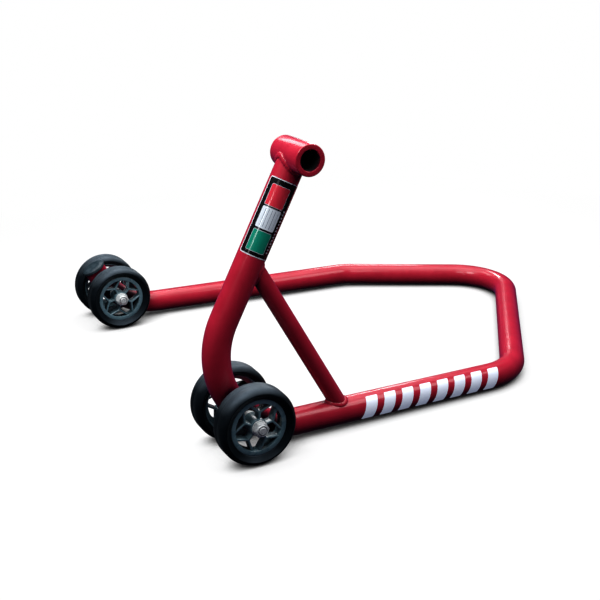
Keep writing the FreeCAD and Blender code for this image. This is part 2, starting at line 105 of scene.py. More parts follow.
# The far rail starts to turn up level with the near one, and is cut off early as the stub.
FORWARD = (FAR_RAIL - FAR_BEND).normalized()
STUB_BEND_START = FAR_BEND + FORWARD * ((FAR_BEND.x - POST_BEND_START.x) / -FORWARD.x)
STUB_TURN = math.radians(62)
STUB_TANGENT = UPRIGHT_BEND_RADIUS * math.tan(STUB_TURN / 2)
STUB_STRAIGHT = 16.0
STUB_CORNER = STUB_BEND_START + FORWARD * STUB_TANGENT
STUB = (FORWARD * math.cos(STUB_TURN) + Z_AXIS * math.sin(STUB_TURN)).normalized()
STUB_END = STUB_CORNER + STUB * (STUB_TANGENT + STUB_STRAIGHT)

SOCKET_RADIUS = 19.0
SOCKET_BORE_RADIUS = 12.5
SOCKET_NEAR_REACH = 40.0
SOCKET_FAR_REACH = 28.0

BRACE_RADIUS = 11.0
BRACE_TOP = POST * -133.7
BRACE_FOOT = NEAR_RAIL + RAIL * (141.0 / RAIL.x)
BRACE = (BRACE_FOOT - BRACE_TOP).normalized()

# -------- node helpers

# Noise mostly stays between these two values, so shades and roughness are spread over them.
NOISE_LOW, NOISE_HIGH = 0.3, 0.7


def new_material(name):
    """A node material, with its node tree and its shader."""
    material = bpy.data.materials.new(name)
    material.use_nodes = True
    return material, material.node_tree, material.node_tree.nodes["Principled BSDF"]


def feed(tree, socket, value):
    """Feeds an input from a number, a tuple or another node's output."""
    if isinstance(value, bpy.types.NodeSocket):
        tree.links.new(value, socket)
    elif socket.type == "RGBA":
        socket.default_value = (*value, 1.0)
    else:
        socket.default_value = value


def set_inputs(tree, node, **values):
    """Feeds inputs by name, with _ for each space."""
    for key, value in values.items():
        feed(tree, node.inputs[key.replace("_", " ")], value)


def noise(tree, scale, detail=3.0, rough=0.5, stretch=(1, 1, 1)):
    """Noise over the object, with the scale in features per metre."""
    place = tree.nodes.new("ShaderNodeTexCoord")
    mapping = tree.nodes.new("ShaderNodeMapping")
    set_inputs(tree, mapping, Vector=place.outputs["Object"], Scale=stretch)
    texture = tree.nodes.new("ShaderNodeTexNoise")
    set_inputs(tree, texture, Vector=mapping.outputs["Vector"], Scale=scale, Detail=detail, Roughness=rough)
    return texture.outputs["Fac"]


def ramp(tree, source, stops):
    """A colour ramp over a value; stops are (position, colour) pairs."""
    node = tree.nodes.new("ShaderNodeValToRGB")
    elements = node.color_ramp.elements
    while len(elements) < len(stops):
        elements.new(0.5)
    for element, (position, colour) in zip(elements, stops):
        element.position = position
        element.color = (*colour, 1.0)
    set_inputs(tree, node, Fac=source)
    return node.outputs["Color"]


def value_ramp(tree, source, low, high, low_value, high_value):
    """Maps a value from one range to another, clamped."""
    node = tree.nodes.new("ShaderNodeMapRange")
    set_inputs(tree, node, Value=source, From_Min=low, From_Max=high, To_Min=low_value, To_Max=high_value)
    return node.outputs["Result"]


def noise_colour(tree, source, shades, high=NOISE_HIGH):
    """Noise turned into a colour between a dark and a light shade."""
    return ramp(tree, source, [(NOISE_LOW, shades[0]), (high, shades[1])])


def noise_value(tree, source, low_value, high_value):
    """Noise turned into a value between two limits."""
    return value_ramp(tree, source, NOISE_LOW, NOISE_HIGH, low_value, high_value)


def grain(tree, scale, strength, distance=0.0002, stretch=(1, 1, 1)):
    """A surface normal tilted by fine noise, with its relief in metres."""
    node = tree.nodes.new("ShaderNodeBump")
    height = noise(tree, scale, detail=2, stretch=stretch)
    set_inputs(tree, node, Strength=strength, Distance=distance, Height=height)
    return node.outputs["Normal"]


def maths(tree, operation, *values):
    """One sum over values, each a number or another node's output."""
    node = tree.nodes.new("ShaderNodeMath")
    node.operation = operation
    for socket, value in zip(node.inputs, values):
        feed(tree, socket, value)
    return node.outputs["Value"]


def mix_colours(tree, factor, first, second):
    """First colour at factor 0, second at 1."""
    node = tree.nodes.new("ShaderNodeMix")
    node.data_type = "RGBA"
    sockets = {socket.identifier: socket for socket in (*node.inputs, *node.outputs)}
    feed(tree, sockets["Factor_Float"], factor)
    feed(tree, sockets["A_Color"], first)
    feed(tree, sockets["B_Color"], second)
    return sockets["Result_Color"]


def axes_of(tree, vector):
    """The X, Y and Z of a vector, as three outputs."""
    node = tree.nodes.new("ShaderNodeSeparateXYZ")
    set_inputs(tree, node, Vector=vector)
    return tuple(node.outputs)


def in_the_open(tree, reach, closed, clear):
    """0 where other surfaces crowd in within reach metres, rising to 1 on open surfaces."""
    node = tree.nodes.new("ShaderNodeAmbientOcclusion")
    node.samples = 8
    set_inputs(tree, node, Distance=reach)
    return value_ramp(tree, node.outputs["AO"], closed, clear, 0.0, 1.0)


def colour_with_painted_shade(tree, source, shades, shade_colour, reach, closed, clear):
    """Noise between two shades, going over to a painted shade colour where other surfaces crowd in and
    shade falls.
    """
    # Painted shade: the colour darkens where other surfaces crowd in, as shade falls there.
    unshaded = in_the_open(tree, reach, closed, clear)
    return mix_colours(tree, unshaded, shade_colour, noise_colour(tree, source, shades))


# -------- materials


def red_paint():
    """Glossy red powder coat: soft mottling, slight orange peel, and painted shade where pieces crowd in.
    """
    material, tree, shader = new_material("red_powder_coat")
    mottle = noise(tree, scale=45, detail=4)
    # Painted shade: the red goes dark where pieces crowd in, between the wheels and at the joints.
    colour = colour_with_painted_shade(tree, mottle, shades=((0.50, 0.019, 0.046), (0.58, 0.024, 0.056)),
                          shade_colour=(0.012, 0.0, 0.006), reach=0.05, closed=0.42, clear=0.84)
    smear = noise(tree, scale=90)
    set_inputs(tree, shader, Base_Color=colour, Roughness=noise_value(tree, smear, 0.30, 0.42),
               Specular_IOR_Level=0.25, Coat_Weight=0.5, Coat_Roughness=0.10,
               Sheen_Weight=0.10, Sheen_Roughness=0.4, Sheen_Tint=(0.45, 0.15, 1.0),
               Normal=grain(tree, scale=900, strength=0.10, distance=0.0003),
               Coat_Normal=grain(tree, scale=900, strength=0.06, distance=0.0003))
    return material


def tyre_rubber():
    """Smooth black rubber with a painted blue-grey sheen on what faces up, standing for the overhead light,
    and fine moulding grain.
    """
    material, tree, shader = new_material("tyre_rubber")
    cloud = noise(tree, scale=60, detail=5, rough=0.6)
    black = noise_colour(tree, cloud, ((0.002, 0.004, 0.006), (0.006, 0.010, 0.014)), high=0.75)
    # Painted light: surfaces facing up are coloured lighter, as the overhead light would make them.
    painted_top_light = noise_colour(tree, cloud, ((0.070, 0.092, 0.110), (0.120, 0.150, 0.175)), high=0.75)
    facing = tree.nodes.new("ShaderNodeNewGeometry")
    upward = value_ramp(tree, axes_of(tree, facing.outputs["Normal"])[2], 0.45, 1.0, 0.0, 1.0)
    grip = noise(tree, scale=200)
    set_inputs(tree, shader, Base_Color=mix_colours(tree, upward, black, painted_top_light),
               Roughness=noise_value(tree, grip, 0.40, 0.52),
               Specular_IOR_Level=0.30, Specular_Tint=(0.62, 0.80, 1.0),
               Sheen_Weight=0.05, Sheen_Roughness=0.4, Sheen_Tint=(0.70, 0.86, 1.0),
               Normal=grain(tree, scale=2600, strength=0.25))
    return material


def slate_plastic():
    """Slate moulded plastic for the rims: satin under a thin gloss, with faint flow marks and painted shade
    in the windows where surfaces crowd in.
    """
    material, tree, shader = new_material("slate_plastic")
    flow = noise(tree, scale=70, detail=4)
    # Painted shade: the slate goes nearly black where surfaces crowd in, as inside the windows.
    colour = colour_with_painted_shade(tree, flow, shades=((0.150, 0.270, 0.320), (0.210, 0.350, 0.405)),
                          shade_colour=(0.001, 0.002, 0.003), reach=0.018, closed=0.10, clear=0.95)
    set_inputs(tree, shader, Base_Color=colour, Roughness=noise_value(tree, flow, 0.22, 0.34),
               Specular_IOR_Level=0.8, Coat_Weight=0.6, Coat_Roughness=0.12,
               Normal=grain(tree, scale=1800, strength=0.12))
    return material


def zinc_plate():
    """Bright zinc plate with fine turning marks, slight dulling, and painted shade where pieces crowd in.
    """
    material, tree, shader = new_material("zinc_plate")
    cloud = noise(tree, scale=260, detail=4)
    # Painted shade: the zinc darkens where other pieces crowd in.
    colour = colour_with_painted_shade(tree, cloud, shades=((0.84, 0.88, 0.88), (0.96, 1.0, 1.0)),
                          shade_colour=(0.02, 0.02, 0.022), reach=0.010, closed=0.05, clear=0.55)
    set_inputs(tree, shader, Base_Color=colour, Roughness=noise_value(tree, cloud, 0.24, 0.36),
               Metallic=0.25, Specular_IOR_Level=0.8,
               Normal=grain(tree, scale=900, strength=0.12, stretch=(1, 6, 1)))
    return material


def plain_surface(name, dark, light, roughness, **more):
    """A moulded surface between two shades, with fine grain; more sets other shader inputs."""
    material, tree, shader = new_material(name)
    shade = noise(tree, scale=120)
    set_inputs(tree, shader, Base_Color=noise_colour(tree, shade, (dark, light)),
               Roughness=noise_value(tree, shade, roughness, roughness + 0.1),
               Normal=grain(tree, scale=2000, strength=0.15), **more)
    return material


# The post label, laid out flat in millimetres: across runs round the post, along runs up it.
LABEL_TOP = 32.0
LABEL_LENGTH = 95.0
LABEL_START = math.radians(-88)
LABEL_SWEEP = math.radians(163)
LABEL_WIDTH = LABEL_SWEEP * TUBE_RADIUS
LABEL_BLACK = (0.002, 0.002, 0.003)
LABEL_HAZE = (0.30, 0.32, 0.36)
KEYLINE_WIDTH, KEYLINE_CORNER = 1.1, 4.0
KEYLINE_COLOUR = (0.88, 0.93, 1.0)
# Each panel is (distance of its middle below the socket's axis, colour).
PANELS = ((52.5, (0.84, 0.045, 0.080)), (80.2, (0.84, 0.93, 1.00)), (108.5, (0.006, 0.33, 0.22)))
PANEL_CENTRE = (math.radians(-25) - LABEL_START) * TUBE_RADIUS
PANEL_HALF, PANEL_CORNER = (12.0, 13.0), 1.8
PANEL_EDGE_WIDTH = 0.45
PANEL_EDGE_COLOUR = (0.75, 0.80, 0.88)
LINED_HALF, LINED_CORNER = (9.0, 11.0), 1.0
LINE_PITCH, LINE_SHARE = 4.0, 0.12
LINE_COLOUR = (0.10, 0.14, 0.22)
TICK_CENTRE, TICK_HALF, TICK_CORNER = (35.8, 34.0), (1.2, 28.0), 0.2
TICK_PITCH, TICK_SHARE = 4.0, 0.5
TICK_COLOUR = (0.70, 0.76, 0.84)


def rounded_box_mask(tree, place, centre, half_size, corner, line=None):
    """1 inside a rounded rectangle on the label; with line, only in its border of that width."""
    squares = []
    for source, middle, half in zip(place, centre, half_size):
        distance = maths(tree, "ABSOLUTE", maths(tree, "SUBTRACT", source, middle))
        beyond = maths(tree, "SUBTRACT", distance, half - corner)
        squares.append(maths(tree, "POWER", maths(tree, "MAXIMUM", beyond, 0.0), 2.0))
    reach = maths(tree, "SQRT", maths(tree, "ADD", *squares))
    outside = maths(tree, "SUBTRACT", reach, corner)
    inside = maths(tree, "LESS_THAN", outside, 0.0)
    if line is None:
        return inside
    return maths(tree, "MULTIPLY", inside, maths(tree, "GREATER_THAN", outside, -line))


def striped(tree, mask, source, pitch, share):
    """A mask kept only over the first share of every pitch."""
    position = maths(tree, "FRACT", maths(tree, "DIVIDE", source, pitch))
    return maths(tree, "MULTIPLY", mask, maths(tree, "LESS_THAN", position, share))


def label_layers(tree, across, along):
    """Masks and colours of what is printed on the label, from the bottom layer up."""
    place = (across, along)
    middle = (LABEL_WIDTH / 2, LABEL_LENGTH / 2)
    # The keyline's box reaches 1 mm past the label, so its border is that much wider as well.
    keyline = rounded_box_mask(tree, place, middle, (middle[0] + 1, middle[1] + 1), KEYLINE_CORNER,
                               KEYLINE_WIDTH + 1)
    layers = [(keyline, KEYLINE_COLOUR)]
    centres = [(PANEL_CENTRE, LABEL_LENGTH - (down - LABEL_TOP)) for down, shade in PANELS]
    for centre, (down, shade) in zip(centres, PANELS):
        box = (tree, place, centre, PANEL_HALF, PANEL_CORNER)
        layers.append((rounded_box_mask(*box), shade))
        layers.append((rounded_box_mask(*box, PANEL_EDGE_WIDTH), PANEL_EDGE_COLOUR))
    lined = rounded_box_mask(tree, place, centres[1], LINED_HALF, LINED_CORNER)
    layers.append((striped(tree, lined, across, LINE_PITCH, LINE_SHARE), LINE_COLOUR))
    ticked = rounded_box_mask(tree, place, TICK_CENTRE, TICK_HALF, TICK_CORNER)
    layers.append((striped(tree, ticked, along, TICK_PITCH, TICK_SHARE), TICK_COLOUR))
    haze = noise_value(tree, noise(tree, scale=400, detail=2), 0.0, 0.012)
    return layers + [(haze, LABEL_HAZE)]


def label_vinyl():
    """Laminated sticker: black, a white keyline, three plain panels, ruled lines and plain ticks."""
    material, tree, shader = new_material("label_vinyl")
    across, along = axes_of(tree, tree.nodes.new("ShaderNodeUVMap").outputs["UV"])[:2]
    colour = LABEL_BLACK
    for mask, shade in label_layers(tree, across, along):
        colour = mix_colours(tree, mask, colour, shade)
    set_inputs(tree, shader, Base_Color=colour, Roughness=0.25, Coat_Weight=0.8, Coat_Roughness=0.06,
               Coat_Normal=grain(tree, scale=300, strength=0.05, distance=0.0003))
    return material


MATERIALS = {
    "red_paint": red_paint(),
    "tyre_rubber": tyre_rubber(),
    "slate_plastic": slate_plastic(),
    "zinc": zinc_plate(),
    "bush_steel": plain_surface("bush_steel", (0.20, 0.20, 0.21), (0.30, 0.30, 0.31), 0.35, Metallic=1.0),
    "black_plastic": plain_surface("black_plastic", (0.022, 0.040, 0.052), (0.058, 0.088, 0.106), 0.38),
    "label_vinyl": label_vinyl(),
    # The white vinyl glows faintly: painted light that keeps the bars bright on their shaded side.
    "white_vinyl": plain_surface("white_vinyl", (0.74, 0.78, 0.86), (0.80, 0.84, 0.90), 0.25,
                                 Emission_Color=(0.70, 0.80, 1.0), Emission_Strength=0.30),
    # The bore is bare steel, with its colour taken near black as painted shade inside the socket.
    "bare_bore": plain_surface("bare_bore", (0.004, 0.004, 0.005), (0.008, 0.007, 0.008), 0.85),
    "insert": plain_surface("lock_insert", (0.02, 0.03, 0.05), (0.03, 0.04, 0.07), 0.45),
}

for entry in frame["record"]["subparts"]:
    node = frame["nodes"][entry["node"]]
    node.data.materials.clear()
    node.data.materials.append(MATERIALS[entry["material_slot"]])

# -------- mesh helpers


def face_outwards(mesh, doubled=None):
    """Turns every face outwards, after joining points closer than doubled metres if it is given."""
    work = bmesh.new()
    work.from_mesh(mesh)
    if doubled is not None:
        bmesh.ops.remove_doubles(work, verts=work.verts, dist=doubled)
    bmesh.ops.recalc_face_normals(work, faces=work.faces)
    work.to_mesh(mesh)
    work.free()


def linked_object(name, data):
    """A new object in the scene."""
    made = bpy.data.objects.new(name, data)
    bpy.context.scene.collection.objects.link(made)
    return made


def finish_piece(name, mesh, slot, body, replaced=(), sharp=SHARP_ANGLE):
    """Turns a mesh into a smooth-shaded piece that rides on a body."""
    face_outwards(mesh)
    mesh.shade_smooth()
    mesh.set_sharp_from_angle(angle=math.radians(sharp))
    mesh.materials.append(MATERIALS[slot])
    piece = linked_object(name, mesh)
    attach(piece, body)
    if replaced:
        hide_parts(*replaced)
    return piece


def new_piece(name, points, faces, slot, body, replaced=(), sharp=SHARP_ANGLE, uvs=None):
    """A piece from millimetre points, with one texture coordinate for each point if uvs is given."""
    mesh = bpy.data.meshes.new(name)
    mesh.from_pydata([Vector(point) * MM for point in points], [], faces)
    mesh.update()
    if uvs is not None:
        layer = mesh.uv_layers.new(name="UVMap")
        for loop in mesh.loops:
            layer.data[loop.index].uv = uvs[loop.vertex_index]
    return finish_piece(name, mesh, slot, body, replaced, sharp)


def side_vectors(direction, hint=Y_AXIS):
    """Two unit vectors square to a direction, the first as near the hint as can be."""
    first = (hint - direction * hint.dot(direction)).normalized()
    return first, direction.cross(first)


def ring_points(centre, first, second, radius, count):
    """Points evenly round a circle that lies in the plane of two vectors."""
    points = []
    for step in range(count):
        angle = 2 * math.pi * step / count
        points.append(centre + (first * math.cos(angle) + second * math.sin(angle)) * radius)
    return points


def grid_faces(rows, columns, close_rows=False, close_columns=True):
    """Quads between neighbouring rows of points; a closed direction wraps round."""
    faces = []
    for row in range(rows if close_rows else rows - 1):
        below = (row + 1) % rows
        for column in range(columns if close_columns else columns - 1):
            beside = (column + 1) % columns
            faces.append((row * columns + column, row * columns + beside,
                          below * columns + beside, below * columns + column))
    return faces


def corner_arc(corner, before, after, radius):
    """Centre of the arc that rounds a corner, and the way from it to each end of the arc."""
    back = (before - corner).normalized()
    ahead = (after - corner).normalized()
    half = back.angle(ahead) / 2
    centre = corner + (back + ahead).normalized() * (radius / math.sin(half))
    first = corner + back * (radius / math.tan(half)) - centre
    last = corner + ahead * (radius / math.tan(half)) - centre
    return centre, first, last


def rounded_profile(corners, radii, steps=5):
    """A closed outline with each corner rounded by its own radius (0 leaves it sharp)."""
    outline = []
    corners = [Vector(corner) for corner in corners]
    for index, radius in enumerate(radii):
        if radius <= 0:
            outline.append(tuple(corners[index]))
            continue
        after = corners[(index + 1) % len(corners)]
        centre, first, last = corner_arc(corners[index], corners[index - 1], after, radius)
        swing = first.angle_signed(last)
        for step in range(steps + 1):
            turn = -swing * step / steps
            outline.append((centre.x + first.x * math.cos(turn) - first.y * math.sin(turn),
                            centre.y + first.x * math.sin(turn) + first.y * math.cos(turn)))
    return outline


def ring_profile(inner, outer, low, high, radii, steps=5):
    """Section of a plain ring, starting at the low end of its bore."""
    return rounded_profile([(inner, low), (outer, low), (outer, high), (inner, high)], radii, steps)


def lathe_points(profile, centre, axis, segments):
    """Points of a profile of (radius, height) pairs turned round an axis."""
    first, second = side_vectors(axis, X_AXIS)
    points = []
    for radius, height in profile:
        points += ring_points(centre + axis * height, first, second, radius, segments)
    return points


def lathe(name, profile, centre, axis, slot, body, replaced=(), segments=96, sharp=SHARP_ANGLE):
    """A closed profile turned into a ring-shaped solid."""
    points = lathe_points(profile, centre, axis, segments)
    faces = grid_faces(len(profile), segments, close_rows=True)
    return new_piece(name, points, faces, slot, body, replaced, sharp)


def cap_faces(points, ring_start, count, centre):
    """Adds a middle point and a fan of triangles over a ring of points."""
    points.append(centre)
    middle = len(points) - 1
    return [(ring_start + step, ring_start + (step + 1) % count, middle) for step in range(count)]


# -------- frame tube and brace

ARC_STEP = 2.5
STRAIGHT_STEP = 18.0
TUBE_SEGMENTS = 64
TUBE_END_BELOW_SOCKET = 30.0
# How deep a coped end sinks into the tube it is welded to.
SOCKET_COPE_DEPTH = 0.5
BRACE_COPE_DEPTH = 0.8
BRACE_SEGMENTS = 48
BRACE_STEPS = 8
# Shares of the brace's length left for each coped end, and how far its inner caps stand in.
BRACE_END_SHARE = 0.18
BRACE_CAP_INSET = 14.0


def add_straight(path, end):
    """Evenly spaced points from the path's last point to an end."""
    start = path[-1]
    steps = max(1, round((end - start).length / STRAIGHT_STEP))
    for step in range(1, steps + 1):
        path.append(start.lerp(end, step / steps))


def bent_path(corners, radii):
    """Points along straight runs joined by arcs at the inner corners."""
    path = [corners[0]]
    for corner, before, after, radius in zip(corners[1:-1], corners[:-2], corners[2:], radii):
        centre, entry, leave = corner_arc(corner, before, after, radius)
        add_straight(path, centre + entry)
        turn = entry.angle(leave)
        steps = max(2, math.ceil(math.degrees(turn) / ARC_STEP))
        for step in range(1, steps + 1):
            share = step / steps
            point = entry * math.sin((1 - share) * turn) + leave * math.sin(share * turn)
            path.append(centre + point / math.sin(turn))
    add_straight(path, corners[-1])
    return path


def path_frames(path):
    """A direction and two side vectors at each point of a path, carried along without twisting."""
    last = len(path) - 1
    directions = [(path[min(last, index + 1)] - path[max(0, index - 1)]).normalized()
                  for index in range(len(path))]
    side = side_vectors(directions[0])[0]
    frames = []
    for direction in directions:
        side = (side - direction * side.dot(direction)).normalized()
        frames.append((direction, side, direction.cross(side)))
    return frames


def cope_length(point, direction, host_point, host_direction, host_radius):
    """How far along a direction a point has to go to meet the side of a host cylinder."""
    flat = direction - host_direction * direction.dot(host_direction)
    offset = point - host_point
    offset = offset - host_direction * offset.dot(host_direction)
    a = flat.dot(flat)
    b = offset.dot(flat)
    c = offset.dot(offset) - host_radius ** 2
    return (-b - math.sqrt(max(0.0, b * b - a * c))) / a


def coped(points, direction, host):
    """Points slid along a direction on to a host given by its point, direction and radius."""
    return [point + direction * cope_length(point, direction, *host) for point in points]


def tube_rings(path, frames, radius, segments, host):
    """Rings of points round a path, with the last ring coped to a host cylinder."""
    rings = [ring_points(point, first, second, radius, segments)
             for point, (direction, first, second) in zip(path, frames)]
    rings[-1] = coped(rings[-1], frames[-1][0], host)
    return rings


def joined(rings):
    return [point for ring in rings for point in ring]


def frame_tube():
    """The one bent tube, open at both ends, coped under the socket."""
    top = POST * -TUBE_END_BELOW_SOCKET
    corners = [STUB_END, STUB_CORNER, FAR_BEND, FAR_CORNER, NEAR_CORNER, POST_CORNER, top]
    radii = [STUB_BEND_RADIUS, FAR_BEND_RADIUS, FAR_CORNER_RADIUS, NEAR_CORNER_RADIUS,
             UPRIGHT_BEND_RADIUS]
    path = bent_path(corners, radii)
    frames = path_frames(path)
    frames[-1] = (POST, *frames[-1][1:])
    host = (ORIGIN, Y_AXIS, SOCKET_RADIUS - SOCKET_COPE_DEPTH)
    outer = tube_rings(path, frames, TUBE_RADIUS, TUBE_SEGMENTS, host)
    inner = tube_rings(path, frames, TUBE_BORE_RADIUS, TUBE_SEGMENTS, host)
    faces = grid_faces(2 * len(path), TUBE_SEGMENTS, close_rows=True)
    new_piece("tube_of_frame", joined(outer + inner[::-1]), faces, "red_paint", "stand", ["frame_tube"])


def brace():
    """Straight tube coped to the post above and to the near rail below."""
    middle_share = 1 - 2 * BRACE_END_SHARE
    path = [BRACE_TOP.lerp(BRACE_FOOT, BRACE_END_SHARE + middle_share * step / BRACE_STEPS)
            for step in range(BRACE_STEPS + 1)]
    first, second = side_vectors(BRACE)
    host_radius = TUBE_RADIUS - BRACE_COPE_DEPTH
    down = tube_rings(path, [(BRACE, first, second)] * len(path), BRACE_RADIUS, BRACE_SEGMENTS,
                      (BRACE_FOOT, RAIL, host_radius))
    up = tube_rings(path[::-1], [(-BRACE, first, second)] * len(path), BRACE_RADIUS, BRACE_SEGMENTS,
                    (BRACE_TOP, POST, host_radius))
    rings = up[-1:] + down[1:]
    points = joined(rings)
    faces = grid_faces(len(rings), BRACE_SEGMENTS)
    last_ring = (len(rings) - 1) * BRACE_SEGMENTS
    faces += cap_faces(points, 0, BRACE_SEGMENTS, BRACE_TOP + BRACE * BRACE_CAP_INSET)
    faces += cap_faces(points, last_ring, BRACE_SEGMENTS, BRACE_FOOT - BRACE * BRACE_CAP_INSET)
    new_piece("brace_between_post_and_rail", points, faces, "red_paint", "stand", ["brace_tube"])


frame_tube()
brace()

# -------- weld beads

# Points along one ripple of weld, and points round the bead.
RIPPLE_STEPS = 10
BEAD_AROUND = 18
# A bead's half width as shares of its given width: plain, at a ripple's middle, and wandering.
BEAD_REACH, RIPPLE_REACH, WANDER_REACH = 0.94, 0.04, 0.05
# The same for how far it stands up.
BEAD_RISE, RIPPLE_RISE = 0.558, 0.062
# Rates, in radians a point, of the two slow waves that make the width wander.
WANDER_RATES = (0.37, 0.113)
# A point this far from a joint along the branch is clear of the host it is welded to.
BRANCH_REACH = 60.0


def bead(name, joint, direction, radius, host_direction, host_radius, width, ripples, replaced):
    """A flattened roll of weld where a branch runs into a host, rippled like laid weld."""
    count = RIPPLE_STEPS * ripples
    start = joint - direction * BRANCH_REACH
    ring = ring_points(start, *side_vectors(direction), radius, count)
    seam = coped(ring, direction, (joint, host_direction, host_radius))
    points = []
    for index, point in enumerate(seam):
        along = (seam[(index + 1) % count] - seam[index - 1]).normalized()
        from_branch = (ring[index] - start).normalized()
        from_host = point - joint
        from_host = (from_host - host_direction * from_host.dot(host_direction)).normalized()
        outward = from_branch + from_host
        outward = (outward - along * outward.dot(along)).normalized()
        sideways = along.cross(outward)
        phase = (index / RIPPLE_STEPS) % 1.0
        ripple = math.sqrt(max(0.0, 1 - (2 * phase - 1) ** 2))
        wander = math.sin(index * WANDER_RATES[0]) * math.sin(index * WANDER_RATES[1])
        reach = width * (BEAD_REACH + RIPPLE_REACH * ripple + WANDER_REACH * wander)
        rise = width * (BEAD_RISE + RIPPLE_RISE * ripple)
        points += ring_points(point, sideways * reach, outward * rise, 1.0, BEAD_AROUND)
    faces = grid_faces(count, BEAD_AROUND, close_rows=True)
    new_piece(name, points, faces, "red_paint", "stand", replaced, sharp=60)


bead("bead_at_brace_top", BRACE_TOP, -BRACE, BRACE_RADIUS, POST, TUBE_RADIUS,
     width=3.2, ripples=24, replaced=["brace_top_bead"])
bead("bead_at_brace_foot", BRACE_FOOT, BRACE, BRACE_RADIUS, RAIL, TUBE_RADIUS,
     width=3.6, ripples=24, replaced=["brace_foot_bead"])
bead("bead_at_socket", ORIGIN, POST, TUBE_RADIUS, Y_AXIS, SOCKET_RADIUS,
     width=4.2, ripples=34, replaced=["socket_bead"])

# -------- pin socket and stub plug

SOCKET_EDGE_ROUND = 1.2
# How far the paint reaches into each end of the bore.
PAINTED_MOUTH = 4.0
PLUG_STEM_LENGTH = 12.0
PLUG_RADIUS = 19.0
PLUG_FLANGE_THICKNESS = 4.0
PLUG_SHOULDER = (14.0, 6.4)
PLUG_DOME_HEIGHT = 7.5


def pin_socket():
    """Thick-walled tube across the top of the post, with eased edges and a bare bore painted near black as
    painted shade.
    """
    near, far = -SOCKET_NEAR_REACH, SOCKET_FAR_REACH
    profile = ring_profile(SOCKET_BORE_RADIUS, SOCKET_RADIUS, near, far, [SOCKET_EDGE_ROUND] * 4)
    profile.append((SOCKET_BORE_RADIUS, far - PAINTED_MOUTH))
    profile.append((SOCKET_BORE_RADIUS, near + PAINTED_MOUTH))
    socket = lathe("socket_for_pin", profile, ORIGIN, Y_AXIS, "red_paint", "stand", ["pin_socket"])
    socket.data.materials.append(MATERIALS["bare_bore"])
    for polygon in socket.data.polygons:
        out = polygon.center / MM
        on_bore = math.hypot(out.x, out.z) < SOCKET_BORE_RADIUS + SAME_SIZE
        if on_bore and near + PAINTED_MOUTH < out.y < far - PAINTED_MOUTH:
            polygon.material_index = 1


def stub_plug():
    """Plastic plug: eased flange with a low dome, and its stem inside the tube."""
    corners = [(AXIS_GAP, -PLUG_STEM_LENGTH), (TUBE_BORE_RADIUS, -PLUG_STEM_LENGTH), (TUBE_BORE_RADIUS, 0),
               (PLUG_RADIUS, 0), (PLUG_RADIUS, PLUG_FLANGE_THICKNESS), PLUG_SHOULDER,
               (AXIS_GAP, PLUG_DOME_HEIGHT)]
    profile = rounded_profile(corners, [0, 0.8, 0, 0.4, 1.6, 5.0, 0])
    lathe("plug_of_stub", profile, STUB_END, STUB, "black_plastic", "stand", ["stub_end_plug"], 64)


pin_socket()
stub_plug()

# -------- wheels

# Each wheel is drawn with its face at positive heights. How far its spokes are turned, in degrees,
# and which way it faces along Y: away from the frame tube.
WHEEL_TURNS = {"near_outer": 82, "near_inner": 63, "far_inner": 44, "far_outer": 12}
WHEEL_SIDES = {"near_outer": -1, "near_inner": 1, "far_inner": -1, "far_outer": 1}

TYRE_HALF_WIDTH = 17.0
TYRE_CROWN_HALF_WIDTH = 13.6
TYRE_WALL_RADIUS = 43.8
TYRE_SHOULDER_RADIUS = 11.6
TYRE_SHOULDER_STEPS = 16
TYRE_LIP_EASE = 0.3
TYRE_EDGE_EASE = 0.2
PARTING_LINE_DEPTH = 0.15
PARTING_LINE_HALF = 0.5

RIM_SEGMENTS = 120
RIM_HALF_WIDTH = 12.0
RIM_FACE_RADIUS = 36.2
RIM_FACE_BACK = 8.0
RIM_INNER_RADIUS = 30.4
RIM_RING_BACK = -2.0
RIM_BARREL_RADIUS = 38.0
RIM_BARREL_BORE_RADIUS = 36.5
HUB_RADIUS = 11.0
BUSH_RADIUS = 7.0
SPOKE_COUNT = 5
SPOKE_HALF = 1.4
SPOKE_FRONT = 10.5
FORK_RADIUS = 19.4
ARM_ANGLE = math.radians(60)
WEB_BACK = -1.7
WEB_EDGE_ROUND = 0.9
# How far the spoked web reaches into the ring and the hub.
WEB_OVERLAP = 2.2
# The windows run this far under the ring and the hub, which then trim them.
WINDOW_OVERLAP = 0.8
# Rounding where a spoke meets the hub, where it forks, and where an arm meets the ring.
ROOT_ROUND, FORK_ROUND, RING_ROUND = 1.2, 1.5, 1.0
# Straight pieces that make each curved side of a window.
HUB_ARC_STEPS, LARGE_ARC_STEPS, SMALL_ARC_STEPS = 6, 6, 8


def wheel_centre(name):
    low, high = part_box(name + "_tyre")
    return (low + high) / 2 / MM


